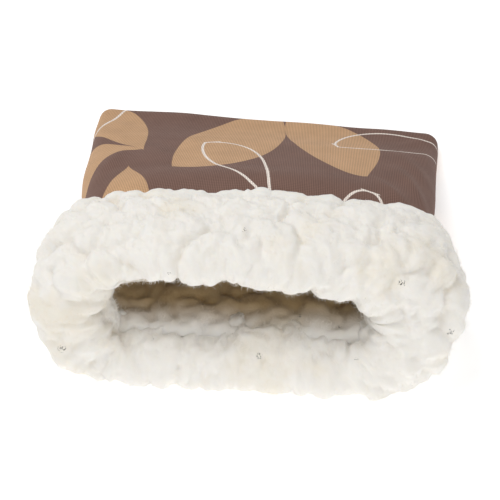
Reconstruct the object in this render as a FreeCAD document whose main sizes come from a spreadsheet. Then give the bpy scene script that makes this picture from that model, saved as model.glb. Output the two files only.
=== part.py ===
"""Hand warmer muff: a flat cloth pouch, lined with deep sherpa pile, whose mouth is turned back as a cuff.

The pouch lies on a table. X runs across it, Y from the mouth (-Y) to the closed end (+Y), and Z up.
The origin is on the table, under the middle of the muff's bounding box.

Every cloth piece is cut in an upper and a lower half, which meet at the side seams. A half's section
is a half loop: a rounded shoulder at each side, joined by a crowned top or a flat underside. Sections
stand in planes that lean back by mouth_lean, because the upper lip sits further back than the lower.
A section's station is how far its plane meets the table behind the front of the mouth.
"""

import FreeCAD, Part
import Sketcher
import math
import os

# Driving dimensions in millimetres, and the lean in degrees
SIZES = {
    # the pouch as a whole
    "flat_width": 275.0,
    "body_length": 284.0,
    "mouth_lean": 20.0,
    # stations along the pouch
    "roll_depth": 22.0,
    "cuff_depth": 70.0,
    "collar_depth": 88.0,
    "belly_station": 132.0,
    "nose_length": 14.0,
    # the shell inside the cuff
    "collar_width": 236.0,
    "collar_top": 86.0,
    "collar_bottom": 17.0,
    "collar_seam": 50.0,
    "collar_shoulder": 28.0,
    # the shell behind the cuff
    "belly_width": 252.0,
    "belly_top": 71.0,
    "belly_seam": 40.0,
    "belly_shoulder": 24.0,
    "end_height": 14.0,
    "end_shoulder": 5.6,
    "corner_inset": 10.5,
    "tip_height": 5.0,
    "tip_shoulder": 2.1,
    # the cuff, outside the shell
    "cuff_side": 24.0,
    "cuff_top": 16.0,
    "cuff_shoulder": 46.0,
    "lip_radius": 15.0,
    "mouth_radius": 12.0,
    "edge_radius": 6.0,
    "backing_thickness": 1.0,
    # the layers inside the cuff
    "shell_thickness": 1.2,
    "layer_gap": 1.6,
    "collar_pile": 15.0,
    "belly_pile": 13.0,
    "end_pile": 8.0,
    "roll_swell": 3.0,
    "end_wall": 24.0,
    "end_gape": 3.0,
    "end_allowance": 8.0,
    # threads
    "side_thread_radius": 0.5,
    "side_thread_drop": 0.9,
    "lining_thread_radius": 0.4,
    "lining_thread_drop": 2.4,
    "end_thread_radius": 1.0,
    "lining_end_thread_radius": 0.9,
    "end_thread_inset": 12.0,
    "hem_thickness": 1.4,
    "hem_depth": 2.5,
    # clearances, and how far the flat undersides start below the table before they are cut flush
    "fit_clearance": 0.4,
    "half_gap": 0.15,
    "trim_depth": 0.3,
}

SHEET = "Sizes"
UPPER, LOWER = 1, -1
RIGHT, LEFT = 1, -1
START, END, CENTRE = 1, 2, 3
SKETCH_ORIGIN, UP_AXIS = -1, -2
CUT_OVERRUN = 2.0


class Size:
    """A length held twice: its number now, and the expression that works it out from the sheet."""

    def __init__(self, number, text):
        self.number = float(number)
        self.text = text

    def __add__(self, other):
        other = as_size(other)
        return Size(self.number + other.number, f"({self.text} + {other.text})")

    def __sub__(self, other):
        other = as_size(other)
        return Size(self.number - other.number, f"({self.text} - {other.text})")

    def __mul__(self, other):
        other = as_size(other)
        return Size(self.number * other.number, f"{self.text} * {other.text}")

    def __truediv__(self, other):
        other = as_size(other)
        return Size(self.number / other.number, f"{self.text} / ({other.text})")


def as_size(thing):
    """A plain number as a Size, and a Size as it is."""
    return thing if isinstance(thing, Size) else Size(thing, f"{float(thing)!r}")


def size(alias):
    """A driving dimension by its name in the sheet."""
    return Size(SIZES[alias], f"{SHEET}.{alias}")


def root(length):
    """The square root of a Size."""
    return Size(math.sqrt(length.number), f"sqrt({length.text})")


def lean_cosine():
    return Size(math.cos(math.radians(SIZES["mouth_lean"])), f"cos({SHEET}.mouth_lean * 1 deg)")


def in_plane(height):
    """A height above the table, measured along the leaning section plane."""
    return height / lean_cosine()


class Arch:
    """One half's outline in its section plane.

    It leaves each side seam square to the seam's level, turns through the shoulder, and runs across
    as a crown (upper half) or a flat (lower half). base is the seam's level in the plane, and rise is
    how far the crest stands from it, up or down.
    """

    def __init__(self, side, station, half_width, base, rise, shoulder):
        self.side = side
        self.station = station
        self.half_width = half_width
        self.base = base
        self.rise = rise
        self.shoulder = shoulder

    def at(self, station):
        """The same outline at another station."""
        return Arch(self.side, station, self.half_width, self.base, self.rise, self.shoulder)

    def inset(self, depth):
        """The outline one layer further in."""
        return Arch(self.side, self.station, self.half_width - depth, self.base,
                    self.rise - depth, self.shoulder - depth)

    def outset(self, depth):
        """The outline one layer further out."""
        return Arch(self.side, self.station, self.half_width + depth, self.base,
                    self.rise + depth, self.shoulder + depth)

    def toward(self, other, station):
        """The outline between this one and another, at a station that lies between theirs."""
        share = (station - self.station) / (other.station - self.station)

        def between(mine, theirs):
            return mine + (theirs - mine) * share

        return Arch(self.side, station, between(self.half_width, other.half_width),
                    between(self.base, other.base), between(self.rise, other.rise),
                    between(self.shoulder, other.shoulder))


def arch(side, station, width, seam, crest, shoulder=None):
    """An outline from its width and its heights above the table; a flat underside needs no shoulder."""
    gap = size("half_gap")
    if side == UPPER:
        return Arch(side, station, width / 2, in_plane(seam) + gap, in_plane(crest - seam) - gap, shoulder)
    rise = in_plane(seam - crest) - gap
    return Arch(side, station, width / 2, in_plane(seam) - gap, rise, rise)


def collar(side, station):
    """The shell's outside within the cuff."""
    if side == UPPER:
        return arch(side, station, size("collar_width"), size("collar_seam"), size("collar_top"),
                    size("collar_shoulder"))
    return arch(side, station, size("collar_width"), size("collar_seam"), size("collar_bottom"))


def belly(side):
    """The shell's outside where its underside comes down to the table."""
    station = size("belly_station")
    if side == UPPER:
        return arch(side, station, size("belly_width"), size("belly_seam"), size("belly_top"),
                    size("belly_shoulder"))
    return arch(side, station, size("belly_width"), size("belly_seam"), size("trim_depth") * -1)


def closed_end(side):
    """The shell's outside where it starts to round off at the closed end."""
    station = size("body_length") - size("nose_length")
    seam = size("end_height") / 2
    if side == UPPER:
        return arch(side, station, size("flat_width"), seam, size("end_height"), size("end_shoulder"))
    return arch(side, station, size("flat_width"), seam, size("trim_depth") * -1)


def tip_width():
    """The end seam's width, between the cut corners."""
    return size("flat_width") - size("corner_inset") * 2


def tip(side):
    """The shell's outside at the end seam."""
    seam = size("end_height") / 2
    crest = seam + size("tip_height") / 2 * side
    shoulder = size("tip_shoulder") if side == UPPER else None
    return arch(side, size("body_length"), tip_width(), seam, crest, shoulder)


def hand_end(side):
    """The end of the hollow that the hands reach, near the closed end."""
    outline = closed_end(side).at(size("body_length") - size("end_wall"))
    rise = size("end_gape") / 2
    shoulder = rise * 0.8 if side == UPPER else rise
    depth = size("shell_thickness") + size("layer_gap") + size("end_pile")
    whole = belly(side).toward(closed_end(side), outline.station)
    return Arch(side, outline.station, whole.half_width - depth, whole.base, rise, shoulder)


def cuff_outside(side, station):
    width = size("collar_width") + size("cuff_side") * 2
    if side == UPPER:
        return arch(side, station, width, size("collar_seam"), size("collar_top") + size("cuff_top"),
                    size("cuff_shoulder"))
    return arch(side, station, width, size("collar_seam"), size("trim_depth") * -1)


def origin_plane(body, role):
    return next(item for item in body.Origin.OriginFeatures if item.Role == role)


def bind(sketch, kind, *where, to):
    """Adds a dimension to a sketch and ties it to the sheet."""
    index = sketch.addConstraint(Sketcher.Constraint(kind, *where, to.number))
    sketch.setExpression(f"Constraints[{index}]", to.text)


def tie(sketch, kind, *where):
    sketch.addConstraint(Sketcher.Constraint(kind, *where))


def section_sketch(body, name, station):
    """An empty sketch in the leaning plane at a station."""
    sketch = body.newObject("Sketcher::SketchObject", name)
    sketch.AttachmentSupport = [(origin_plane(body, "XZ_Plane"), "")]
    sketch.MapMode = "FlatFace"
    lean = FreeCAD.Rotation(FreeCAD.Vector(1, 0, 0), -SIZES["mouth_lean"])
    sketch.AttachmentOffset = FreeCAD.Placement(FreeCAD.Vector(0, 0, -station.number), lean)
    sketch.setExpression("AttachmentOffset.Base.z", f"-1 * {station.text}")
    sketch.setExpression("AttachmentOffset.Rotation.Angle", f"-{SHEET}.mouth_lean * 1 deg")
    return sketch


def arch_sketch(body, name, outline, overrun=0.0):
    """An outline closed across the seams; an overrun carries its ends straight on past the seams."""
    sketch = section_sketch(body, name, outline.station)
    side, half, base = outline.side, outline.half_width, outline.base
    rise, shoulder = outline.rise, outline.shoulder
    inner = half - shoulder
    crown = (inner * inner + rise * rise - shoulder * shoulder) / ((rise - shoulder) * 2) \
        if side == UPPER else None

    # where the shoulder ends and the crown or the flat begins
    turn = math.atan2(crown.number - rise.number, inner.number) if crown else math.pi / 2
    bend = shoulder.number
    level = base.number
    axis = FreeCAD.Vector(0, 0, 1)

    def shoulder_arc(hand):
        circle = Part.Circle(FreeCAD.Vector(hand * inner.number, level, 0), axis, bend)
        if hand * side > 0:
            first = 0.0 if hand == RIGHT else math.pi
            return Part.ArcOfCircle(circle, first, first + turn)
        last = math.pi if hand == LEFT else 2 * math.pi
        return Part.ArcOfCircle(circle, last - turn, last)

    right = sketch.addGeometry(shoulder_arc(RIGHT))
    left = sketch.addGeometry(shoulder_arc(LEFT))
    # an arc runs anticlockwise, so its seam end is its start on one side and its end on the other
    right_seam, right_top = (START, END) if side == UPPER else (END, START)
    left_seam, left_top = (END, START) if side == UPPER else (START, END)
    if crown:
        centre = FreeCAD.Vector(0, level + rise.number - crown.number, 0)
        across = Part.ArcOfCircle(Part.Circle(centre, axis, crown.number), turn, math.pi - turn)
    else:
        depth = level - bend
        across = Part.LineSegment(FreeCAD.Vector(inner.number, depth, 0),
                                  FreeCAD.Vector(-inner.number, depth, 0))
    top = sketch.addGeometry(across)

    past = base - as_size(overrun) * side
    corners = [(half.number, level), (half.number, past.number),
               (-half.number, past.number), (-half.number, level)]
    corners = [FreeCAD.Vector(x, y, 0) for x, y in corners]
    if overrun:
        lines = [Part.LineSegment(*pair) for pair in zip(corners, corners[1:])]
    else:
        lines = [Part.LineSegment(corners[0], corners[3])]
    lines = [sketch.addGeometry(line) for line in lines]

    tie(sketch, "Tangent", right, right_top, top, START)
    tie(sketch, "Tangent", top, END, left, left_top)
    tie(sketch, "Coincident", right, right_seam, lines[0], START)
    for line, following in zip(lines, lines[1:]):
        tie(sketch, "Coincident", line, END, following, START)
    tie(sketch, "Coincident", lines[-1], END, left, left_seam)
    if overrun:
        tie(sketch, "Vertical", lines[0])
        tie(sketch, "Vertical", lines[2])
        tie(sketch, "Horizontal", lines[1])
        bind(sketch, "DistanceY", SKETCH_ORIGIN, 1, lines[1], START, to=past)
    tie(sketch, "Symmetric", right, right_seam, left, left_seam, UP_AXIS)
    bind(sketch, "DistanceX", SKETCH_ORIGIN, 1, right, right_seam, to=half)
    bind(sketch, "DistanceY", SKETCH_ORIGIN, 1, right, right_seam, to=base)
    bind(sketch, "DistanceY", SKETCH_ORIGIN, 1, right, CENTRE, to=base)
    bind(sketch, "DistanceY", SKETCH_ORIGIN, 1, left, CENTRE, to=base)
    bind(sketch, "Radius", right, to=shoulder)
    tie(sketch, "Equal", right, left)
    if crown:
        bind(sketch, "Radius", top, to=crown)
    return sketch


def loft(body, kind, name, outlines, overrun=0.0):
    """A ruled loft through outlines, added to the body or cut from it."""
    sketches = [arch_sketch(body, f"{name}_{step}", outline, overrun)
                for step, outline in enumerate(outlines)]
    feature = body.newObject(f"PartDesign::{kind}", name)
    feature.Profile = sketches[0]
    feature.Sections = sketches[1:]
    feature.Ruled = True
    return feature


def layer(doc, name, outside, inside):
    """A half shell: a loft through its outside, hollowed by a loft through its inside."""
    body = new_body(doc, name)
    loft(body, "AdditiveLoft", f"{name}_outside", outside)
    loft(body, "SubtractiveLoft", f"{name}_hollow", inside, overrun=CUT_OVERRUN)
    return body


def new_body(doc, name):
    body = doc.addObject("PartDesign::Body", name)
    body.Label = name
    return body


def trim_underside(body):
    """Cuts the underside flush with the table, which leaves a true flat."""
    name = f"{body.Label}_trim"
    sketch = body.newObject("Sketcher::SketchObject", f"{name}_outline")
    sketch.AttachmentSupport = [(origin_plane(body, "XY_Plane"), "")]
    sketch.MapMode = "FlatFace"
    half_width = size("flat_width") + size("cuff_side")
    length = size("body_length") * 2
    xs, ys = half_width.number, length.number
    corners = [FreeCAD.Vector(x, y, 0) for x, y in ((-xs, -ys), (xs, -ys), (xs, ys), (-xs, ys))]
    sides = [sketch.addGeometry(Part.LineSegment(a, b)) for a, b in zip(corners, corners[1:] + corners[:1])]
    for first, second in zip(sides, sides[1:] + sides[:1]):
        tie(sketch, "Coincident", first, END, second, START)
    for line, direction in zip(sides, ("Horizontal", "Vertical") * 2):
        tie(sketch, direction, line)
    tie(sketch, "Symmetric", sides[0], START, sides[2], START, SKETCH_ORIGIN, 1)
    bind(sketch, "DistanceX", SKETCH_ORIGIN, 1, sides[0], END, to=half_width)
    bind(sketch, "DistanceY", SKETCH_ORIGIN, 1, sides[1], END, to=length)
    pocket = body.newObject("PartDesign::Pocket", name)
    pocket.Profile = sketch
    pocket.Length = 10 * SIZES["trim_depth"]
    pocket.setExpression("Length", f"10 * {SHEET}.trim_depth")


def shell_panel(doc, side):
    """One half of the printed knit shell, from the lip to the closed end, where it is walled."""
    thickness = size("shell_thickness")
    front = size("roll_depth") + size("fit_clearance")
    outside = [collar(side, front), collar(side, size("collar_depth")), belly(side), closed_end(side), tip(side)]
    inside = [outline.inset(thickness) for outline in outside]
    inside[0] = inside[0].at(front - CUT_OVERRUN)
    inside[-1] = inside[-1].at(size("body_length") - thickness)
    name = "shell_upper_panel" if side == UPPER else "shell_lower_panel"
    body = layer(doc, name, outside, inside)
    if side == LOWER:
        trim_underside(body)
    return body


def lining_panel(doc, side):
    """One half of the sherpa lining: as thick as its pile is deep, around the hollow for the hands."""
    depth = size("shell_thickness") + size("layer_gap")
    front = size("roll_depth") + size("fit_clearance")
    last = closed_end(side).toward(tip(side), size("body_length") - size("end_allowance"))
    outside = [collar(side, front), collar(side, size("collar_depth")), belly(side), closed_end(side), last]
    outside = [outline.inset(depth) for outline in outside]
    inside = [outside[0].inset(size("collar_pile")).at(front - CUT_OVERRUN),
              outside[1].inset(size("collar_pile")),
              outside[2].inset(size("belly_pile")),
              hand_end(side)]
    name = "lining_upper_panel" if side == UPPER else "lining_lower_panel"
    return layer(doc, name, outside, inside)


def cuff_band(doc, side):
    """One half of the turned-back sherpa: a thick roll at the lip, then a band around the shell."""
    name = "cuff_upper_band" if side == UPPER else "cuff_lower_band"
    body = new_body(doc, name)
    start, roll, back = as_size(0.0), size("roll_depth"), size("cuff_depth")
    loft(body, "AdditiveLoft", f"{name}_outside", [cuff_outside(side, start), cuff_outside(side, back)])

    # the roll stands inward past the lining, so that the mouth is narrower than the hollow behind it
    depth = size("shell_thickness") + size("layer_gap") + size("collar_pile") + size("roll_swell")
    mouth = collar(side, roll).inset(depth)
    ends = [mouth.at(start - CUT_OVERRUN), mouth.at(roll + CUT_OVERRUN)]
    loft(body, "SubtractiveLoft", f"{name}_mouth", ends, overrun=CUT_OVERRUN)
    layers = size("backing_thickness") + size("fit_clearance") * 2
    seat = collar(side, roll).outset(layers)
    ends = [seat, seat.at(back + CUT_OVERRUN)]
    loft(body, "SubtractiveLoft", f"{name}_seat", ends, overrun=CUT_OVERRUN)
    body.Document.recompute()
    round_edges(body, f"{name}_lip", lip_edges(body, mouth, outer=True), "lip_radius")
    round_edges(body, f"{name}_mouth_edge", lip_edges(body, mouth, outer=False), "mouth_radius")
    round_edges(body, f"{name}_free_edge", back_edges(body, seat), "edge_radius")
    if side == LOWER:
        trim_underside(body)
    return body


def station_of(point):
    """How far behind the front of the mouth the leaning plane through a point meets the table."""
    return point.y - point.z * math.tan(math.radians(SIZES["mouth_lean"]))


def edge_middle(edge):
    return edge.valueAt((edge.FirstParameter + edge.LastParameter) / 2)


def beyond(outline, point):
    """Whether a point lies outside an outline, with some room."""
    across = abs(point.x) - outline.half_width.number
    level = point.z / math.cos(math.radians(SIZES["mouth_lean"]))
    along = outline.side * (level - outline.base.number) - outline.rise.number
    return max(across, along) > 1.0


def plane_edges(body, station):
    """The names and middles of the edges that lie in the plane at a station, seams left out."""
    found = []
    for number, edge in enumerate(body.Shape.Edges, start=1):
        middle = edge_middle(edge)
        ends = [vertex.Point for vertex in edge.Vertexes]
        flat = all(abs(station_of(point) - station) < 0.01 for point in ends + [middle])
        along_seam = edge.Length < SIZES["flat_width"] / 4 and len(ends) == 2 and \
            abs(ends[0].z - ends[1].z) < 0.01 and abs(middle.z - ends[0].z) < 0.01 and \
            abs(middle.z - SIZES["collar_seam"]) < 1.0
        if flat and not along_seam:
            found.append((f"Edge{number}", middle))
    return found


def lip_edges(body, mouth, outer):
    return [name for name, middle in plane_edges(body, 0.0) if beyond(mouth, middle) == outer]


def back_edges(body, seat):
    return [name for name, middle in plane_edges(body, SIZES["cuff_depth"]) if beyond(seat, middle)]


def round_edges(body, name, edges, alias):
    fillet = body.newObject("PartDesign::Fillet", name)
    fillet.Base = (fillet.BaseFeature or body.Tip, edges)
    fillet.Radius = SIZES[alias]
    fillet.setExpression("Radius", f"{SHEET}.{alias}")
    body.Document.recompute()


def cuff_backing(doc, side):
    """One half of the shell cloth that was turned back with the sherpa and now lies on the shell."""
    front = size("roll_depth") + size("fit_clearance")
    inner = collar(side, front).outset(size("fit_clearance"))
    outer = inner.outset(size("backing_thickness"))
    name = "cuff_backing_upper" if side == UPPER else "cuff_backing_lower"
    back = size("cuff_depth")
    return layer(doc, name, [outer, outer.at(back)],
                 [inner.at(front - CUT_OVERRUN), inner.at(back + CUT_OVERRUN)])


def hem_thread(doc, side):
    """One half of the stitching that holds the cuff's free edge, just behind it on the shell."""
    front = size("cuff_depth") + size("fit_clearance")
    back = front + size("hem_depth")
    inner = [collar(side, station).outset(size("fit_clearance")) for station in (front, back)]
    outer = [outline.outset(size("hem_thickness")) for outline in inner]
    inner = [inner[0].at(front - CUT_OVERRUN / 10), inner[1].at(back + CUT_OVERRUN / 10)]
    name = "cuff_upper_hem_seam" if side == UPPER else "cuff_lower_hem_seam"
    return layer(doc, name, outer, inner)


def side_thread(doc, name, hand, radius, drop):
    """The stitching of one side seam, in the gap between the shell and the lining.

    It follows the middle of the gap, a small drop below the seam's level.
    """
    body = new_body(doc, name)
    front = size("roll_depth") + size("fit_clearance")
    outlines = [collar(LOWER, front), collar(LOWER, size("collar_depth")), belly(LOWER), closed_end(LOWER)]
    to_middle = size("shell_thickness") + size("layer_gap") / 2
    sketches = []
    for step, outline in enumerate(outlines):
        middle = outline.inset(to_middle)
        inner = middle.half_width - middle.shoulder
        across = inner + root(middle.shoulder * middle.shoulder - drop * drop)
        level = middle.base - drop
        sketch = section_sketch(body, f"{name}_{step}", outline.station)
        centre = FreeCAD.Vector(hand * across.number, level.number, 0)
        circle = sketch.addGeometry(Part.Circle(centre, FreeCAD.Vector(0, 0, 1), radius.number))
        reach = (SKETCH_ORIGIN, 1, circle, CENTRE) if hand == RIGHT else (circle, CENTRE, SKETCH_ORIGIN, 1)
        bind(sketch, "DistanceX", *reach, to=across)
        bind(sketch, "DistanceY", SKETCH_ORIGIN, 1, circle, CENTRE, to=level)
        bind(sketch, "Radius", circle, to=radius)
        sketches.append(sketch)
    feature = body.newObject("PartDesign::AdditiveLoft", f"{name}_run")
    feature.Profile = sketches[0]
    feature.Sections = sketches[1:]
    feature.Ruled = True
    return body


def end_thread(doc, name, station, radius):
    """The stitching straight across the closed end, at the seam's level."""
    body = new_body(doc, name)
    level = size("end_height") / 2
    tangent = Size(math.tan(math.radians(SIZES["mouth_lean"])), f"tan({SHEET}.mouth_lean * 1 deg)")
    back = station + level * tangent
    sketch = body.newObject("Sketcher::SketchObject", f"{name}_section")
    sketch.AttachmentSupport = [(origin_plane(body, "YZ_Plane"), "")]
    sketch.MapMode = "FlatFace"
    centre = FreeCAD.Vector(back.number, level.number, 0)
    circle = sketch.addGeometry(Part.Circle(centre, FreeCAD.Vector(0, 0, 1), radius.number))
    bind(sketch, "DistanceX", SKETCH_ORIGIN, 1, circle, CENTRE, to=back)
    bind(sketch, "DistanceY", SKETCH_ORIGIN, 1, circle, CENTRE, to=level)
    bind(sketch, "Radius", circle, to=radius)
    pad = body.newObject("PartDesign::Pad", f"{name}_run")
    pad.Profile = sketch
    pad.SideType = "Symmetric"
    length = tip_width() - size("end_thread_inset") * 2
    pad.Length = length.number
    pad.setExpression("Length", length.text)
    return body


def threads(doc):
    bodies = []
    rows = (("shell_side_seam", "side_thread_radius", "side_thread_drop"),
            ("lining_side_seam", "lining_thread_radius", "lining_thread_drop"))
    for stem, radius, drop in rows:
        for hand, word in ((LEFT, "left"), (RIGHT, "right")):
            bodies.append(side_thread(doc, f"{stem}_{word}", hand, size(radius), size(drop)))
    thick, thin = size("end_thread_radius"), size("lining_end_thread_radius")
    clearance = size("fit_clearance")
    shell_station = size("body_length") - size("shell_thickness") - clearance - thick
    lining_station = size("body_length") - size("end_allowance") + clearance + thin
    bodies.append(end_thread(doc, "shell_end_seam", shell_station, thick))
    bodies.append(end_thread(doc, "lining_end_seam", lining_station, thin))
    return bodies


def build(doc):
    bodies = []
    for side in (LOWER, UPPER):
        for make in (shell_panel, lining_panel, cuff_band, cuff_backing, hem_thread):
            bodies.append(make(doc, side))
    bodies.extend(threads(doc))
    return bodies


def centre_on_origin(bodies):
    """Places every body so that the origin is under the middle of the whole muff."""
    box = FreeCAD.BoundBox()
    for body in bodies:
        box.add(body.Shape.optimalBoundingBox(False, False))
    for body in bodies:
        body.Placement = FreeCAD.Placement(FreeCAD.Vector(0, -box.Center.y, 0), FreeCAD.Rotation())


def make_sheet(doc):
    sheet = doc.addObject("Spreadsheet::Sheet", SHEET)
    for row, (alias, value) in enumerate(SIZES.items(), start=1):
        sheet.set(f"A{row}", alias)
        sheet.set(f"B{row}", str(value))
        sheet.setAlias(f"B{row}", alias)


def check(doc, bodies):
    """Stops before anything is written if an object failed or a body isn't one valid solid."""
    for item in doc.Objects:
        if "Invalid" in item.State or "Error" in item.State:
            raise RuntimeError(f"{item.Label} failed: {item.State}")
    for body in bodies:
        shape = body.Shape
        if shape.isNull() or not shape.isValid() or len(shape.Solids) != 1:
            raise RuntimeError(f"{body.Label} is not one valid solid")


doc = FreeCAD.newDocument("hand_warmer_muff")
make_sheet(doc)
doc.recompute()
bodies = build(doc)
doc.recompute()
centre_on_origin(bodies)
doc.recompute()
check(doc, bodies)
os.makedirs("parts", exist_ok=True)
for body in bodies:
    body.Shape.exportStep(f"parts/{body.Label}.step")
    box = body.Shape.optimalBoundingBox(False, False)
    print(f"{body.Label:24s} {body.Shape.Volume / 1000:8.2f} cm3  x {box.XMin:7.2f} {box.XMax:7.2f}"
          f"  y {box.YMin:7.2f} {box.YMax:7.2f}  z {box.ZMin:6.2f} {box.ZMax:6.2f}")
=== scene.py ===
# %% [markdown]
# # A hand warmer muff in printed knit and sherpa
# The muff is a flat pouch. Its outside is a fine ribbed knit with a leaf print, and its lining is a deep
# sherpa pile that turns back over the mouth as a wide, fluffy cuff. This lesson builds the soft parts as
# meshes worked out in numpy, lets Geometry Nodes grow what repeats, and gives each cloth a procedural
# material. The frame from the CAD model says where everything goes.

# %% Load the frame
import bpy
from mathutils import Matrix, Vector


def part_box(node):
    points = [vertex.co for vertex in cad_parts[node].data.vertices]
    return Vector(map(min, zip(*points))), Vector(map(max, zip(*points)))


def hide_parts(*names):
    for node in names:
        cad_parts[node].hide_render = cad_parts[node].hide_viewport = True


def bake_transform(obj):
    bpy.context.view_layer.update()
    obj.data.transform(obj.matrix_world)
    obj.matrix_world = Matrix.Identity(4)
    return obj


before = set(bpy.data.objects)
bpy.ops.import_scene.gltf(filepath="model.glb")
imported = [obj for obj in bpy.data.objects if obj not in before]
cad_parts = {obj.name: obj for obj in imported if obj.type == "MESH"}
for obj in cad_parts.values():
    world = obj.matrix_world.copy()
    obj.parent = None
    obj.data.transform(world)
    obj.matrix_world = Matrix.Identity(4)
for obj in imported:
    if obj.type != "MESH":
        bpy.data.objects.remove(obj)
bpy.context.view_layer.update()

import math

import bpy
import numpy as np
from mathutils import Vector, noise
from mathutils.kdtree import KDTree

MM = 0.001
SEED = 7
TABLE_GAP = 0.3 * MM
# smooth noise is offset by the clock unless it is seeded
noise.seed_set(SEED)

# %% [markdown]
# ## The camera, the floor and the light
# A long lens looks down into the mouth. The light is a pale sky with one large soft lamp, as in a light
# tent, so that the white pile keeps its shape without hard shadows.

# %% Camera
CAMERA_TARGET = Vector((-0.002, -0.046, 0.040))
CAMERA_DISTANCE = 0.80
CAMERA_AZIMUTH, CAMERA_ELEVATION = math.radians(3.7), math.radians(43.9)
CAMERA_LENS = 84.1


def make_camera():
    data = bpy.data.cameras.new("camera")
    data.lens = CAMERA_LENS
    data.sensor_width = 36.0
    camera = bpy.data.objects.new("camera", data)
    bpy.context.collection.objects.link(camera)
    back = Vector((math.sin(CAMERA_AZIMUTH) * math.cos(CAMERA_ELEVATION),
                   -math.cos(CAMERA_AZIMUTH) * math.cos(CAMERA_ELEVATION),
                   math.sin(CAMERA_ELEVATION)))
    camera.location = CAMERA_TARGET + back * CAMERA_DISTANCE
    camera.rotation_euler = back.to_track_quat("Z", "Y").to_euler()
    bpy.context.scene.camera = camera
    return camera


camera = make_camera()
print("camera at", [round(value, 3) for value in camera.location])


# %% [markdown]
# ## Helpers for materials
# Every cloth's material is a tree of nodes. These few functions make a node, link it and hand back its
# output, so that each material below reads as one line for each step.

# %% Node helpers
def new_material(name):
    """A material with an empty node tree but for its output, and that tree."""
    material = bpy.data.materials.new(name)
    material.use_nodes = True
    tree = material.node_tree
    for node in list(tree.nodes):
        tree.nodes.remove(node)
    return material, tree


def add_node(tree, kind, **settings):
    """A node with its own settings, and with values for sockets given by name or number."""
    node = tree.nodes.new(kind)
    for key, value in settings.items():
        if key == "inputs":
            for socket, setting in value.items():
                node.inputs[socket].default_value = setting
        else:
            setattr(node, key, value)
    return node


def math_node(tree, operation, *values, clamp=False):
    """A Math node; each value is a number or a socket. Returns its output."""
    node = add_node(tree, "ShaderNodeMath", operation=operation, use_clamp=clamp)
    for socket, value in zip(node.inputs, values):
        if isinstance(value, (int, float)):
            socket.default_value = value
        else:
            tree.links.new(value, socket)
    return node.outputs[0]


def mix_colours(tree, factor, first, second, blend="MIX"):
    """A Mix node on colours; each input is a value or a socket. Returns its output."""
    node = add_node(tree, "ShaderNodeMix", data_type="RGBA", blend_type=blend)
    for socket, value in ((node.inputs[0], factor), (node.inputs[6], first), (node.inputs[7], second)):
        if hasattr(value, "is_linked"):
            tree.links.new(value, socket)
        else:
            socket.default_value = value
    return node.outputs[2]


def map_range(tree, value, low, high, to_low=0.0, to_high=1.0, smooth=True):
    """A smooth step of a value from low to high. Returns its output."""
    node = add_node(tree, "ShaderNodeMapRange")
    node.interpolation_type = "SMOOTHSTEP" if smooth else "LINEAR"
    tree.links.new(value, node.inputs["Value"])
    for socket, setting in zip(("From Min", "From Max", "To Min", "To Max"), (low, high, to_low, to_high)):
        node.inputs[socket].default_value = setting
    return node.outputs["Result"]


def finish_material(tree, shader):
    output = add_node(tree, "ShaderNodeOutputMaterial")
    tree.links.new(shader.outputs[0], output.inputs["Surface"])


# %% [markdown]
# ## The table and the lamps
# The floor is a plain pale sheet that glows a little, so that it stays paler than any shadow on it.

# %% Floor and light
def make_floor():
    size = 6.0
    mesh = bpy.data.meshes.new("floor")
    corners = [(-size, -size, 0), (size, -size, 0), (size, size, 0), (-size, size, 0)]
    mesh.from_pydata(corners, [], [(0, 1, 2, 3)])
    floor = bpy.data.objects.new("floor", mesh)
    bpy.context.collection.objects.link(floor)
    material, tree = new_material("pale_floor")
    shader = add_node(tree, "ShaderNodeBsdfPrincipled",
                      inputs={"Base Color": (0.92, 0.92, 0.92, 1), "Roughness": 0.9,
                              "Emission Color": (1, 1, 1, 1), "Emission Strength": 0.42})
    finish_material(tree, shader)
    mesh.materials.append(material)


def make_light():
    world = bpy.data.worlds.new("light_tent")
    bpy.context.scene.world = world
    world.use_nodes = True
    background = world.node_tree.nodes["Background"]
    background.inputs["Color"].default_value = (1.0, 1.0, 1.0, 1)
    background.inputs["Strength"].default_value = 0.44
    lamps = (("key", (-0.5, 0.1, 1.3), 0.9, 8.5), ("fill", (0.5, -1.3, 0.7), 1.2, 4.5))
    for name, place, size, power in lamps:
        data = bpy.data.lights.new(name, "AREA")
        data.shape = "DISK"
        data.size = size
        data.energy = power
        lamp = bpy.data.objects.new(name, data)
        bpy.context.collection.objects.link(lamp)
        lamp.location = place
        lamp.rotation_euler = Vector(place).to_track_quat("Z", "Y").to_euler()


make_floor()
make_light()
bpy.context.scene.view_settings.view_transform = "Standard"

# %% [markdown]
# ## The muff's sections
# Every layer of the muff has an outline in planes that lean back, because the upper lip sits further back
# than the lower one. An outline has an upper arch, with a rounded shoulder at each side and a low crown
# between, and a lower arch with a flat between its shoulders. Stations say how far along the pouch a
# plane stands, and each size between two known stations is read off a smooth curve.

# %% Sections of the layers
LEAN = math.radians(20.0)
BODY_LENGTH = 284 * MM
END_SEAM = 7 * MM
shell_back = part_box("shell_lower_panel")[1].y
FRONT_Y = shell_back - BODY_LENGTH - END_SEAM * math.tan(LEAN)

STATIONS = np.array([0, 88, 132, 200, 270, 284]) * MM
SHELL_HALF_WIDTH = np.array([118, 118, 126, 132, 137.5, 130]) * MM
SHELL_TOP = np.array([86, 86, 70, 42, 14, 12]) * MM
SHELL_BOTTOM = np.array([17, 17, 2, 0.6, 0.6, 4.5]) * MM
SEAM_LEVEL = np.array([50, 50, 40, 24, 7.3, 7]) * MM
SHOULDER_SHARE = np.array([0.74, 0.74, 0.75, 0.78, 0.85, 0.9])


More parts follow.
